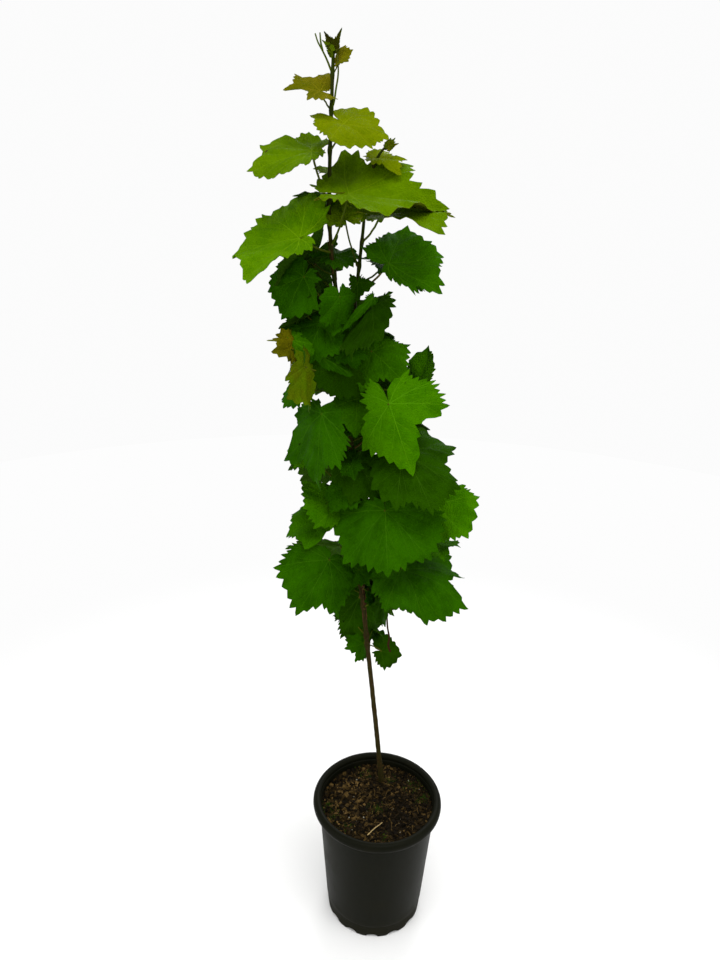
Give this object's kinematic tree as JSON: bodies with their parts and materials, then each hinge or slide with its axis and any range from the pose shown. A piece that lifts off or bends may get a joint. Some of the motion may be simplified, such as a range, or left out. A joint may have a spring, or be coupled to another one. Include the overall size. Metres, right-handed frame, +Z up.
{
  "type": "potted grapevine",
  "caption": "Young grapevine in a round black nursery pot: slender leaning stem with a side shoot, clothed in broad lobed leaves up to a bronze growing tip.",
  "frame": {"origin": "middle of the flat underside of the pot", "axes": "+Z up along the pot's axis, -Y towards the front of the plant, +X to the right seen from the front; the vine leans towards -X"},
  "size_m": [0.299, 0.2494, 1.2221],
  "materials": {
    "pot": "satin black moulded plastic, slightly dusty",
    "potting_mix": "coarse bark and peat with moss and white grit",
    "shoots": "brown peeling bark below, smooth green young wood above",
    "low_leaves": "deep green, soft sheen, pale veins",
    "middle_leaves": "fresh green, soft sheen, pale veins",
    "upper_leaves": "light green, soft sheen, pale veins",
    "top_leaves": "yellow green, thin and soft",
    "young_leaves": "bronze green, downy",
    "back_leaves": "deep green, soft sheen, pale veins"
  },
  "bodies": {
    "root": {"pot": "pot", "potting_mix": "potting_mix", "stem": "shoots", "side_shoot": "shoots", "low_leaf_1": "low_leaves", "low_leaf_2": "low_leaves", "low_leaf_3": "low_leaves", "low_leaf_4": "low_leaves", "low_leaf_5": "low_leaves", "low_leaf_6": "low_leaves", "low_leaf_7": "low_leaves", "low_leaf_8": "low_leaves", "low_leaf_9": "low_leaves", "low_leaf_10": "low_leaves", "low_leaf_11": "low_leaves", "middle_leaf_1": "middle_leaves", "middle_leaf_2": "middle_leaves", "middle_leaf_3": "middle_leaves", "middle_leaf_4": "middle_leaves", "middle_leaf_5": "middle_leaves", "middle_leaf_6": "middle_leaves", "middle_leaf_7": "middle_leaves", "middle_leaf_8": "middle_leaves", "middle_leaf_9": "middle_leaves", "middle_leaf_10": "middle_leaves", "middle_leaf_11": "middle_leaves", "upper_leaf_1": "upper_leaves", "upper_leaf_2": "upper_leaves", "upper_leaf_3": "upper_leaves", "upper_leaf_4": "upper_leaves", "upper_leaf_5": "upper_leaves", "upper_leaf_6": "upper_leaves", "upper_leaf_7": "upper_leaves", "upper_leaf_8": "upper_leaves", "upper_leaf_9": "upper_leaves", "upper_leaf_10": "upper_leaves", "top_leaf_1": "top_leaves", "top_leaf_2": "top_leaves", "top_leaf_3": "top_leaves", "young_leaf_1": "young_leaves", "young_leaf_2": "young_leaves", "young_leaf_3": "young_leaves", "young_leaf_4": "young_leaves", "young_leaf_5": "young_leaves", "young_leaf_6": "young_leaves", "back_leaf_1": "back_leaves", "back_leaf_2": "back_leaves", "back_leaf_3": "back_leaves", "back_leaf_4": "back_leaves", "back_leaf_5": "back_leaves", "back_leaf_6": "back_leaves", "back_leaf_7": "back_leaves", "back_leaf_8": "back_leaves", "back_leaf_9": "back_leaves", "back_leaf_10": "back_leaves", "back_leaf_11": "back_leaves", "back_leaf_12": "back_leaves", "back_leaf_13": "back_leaves"}
  },
  "joints": []
}
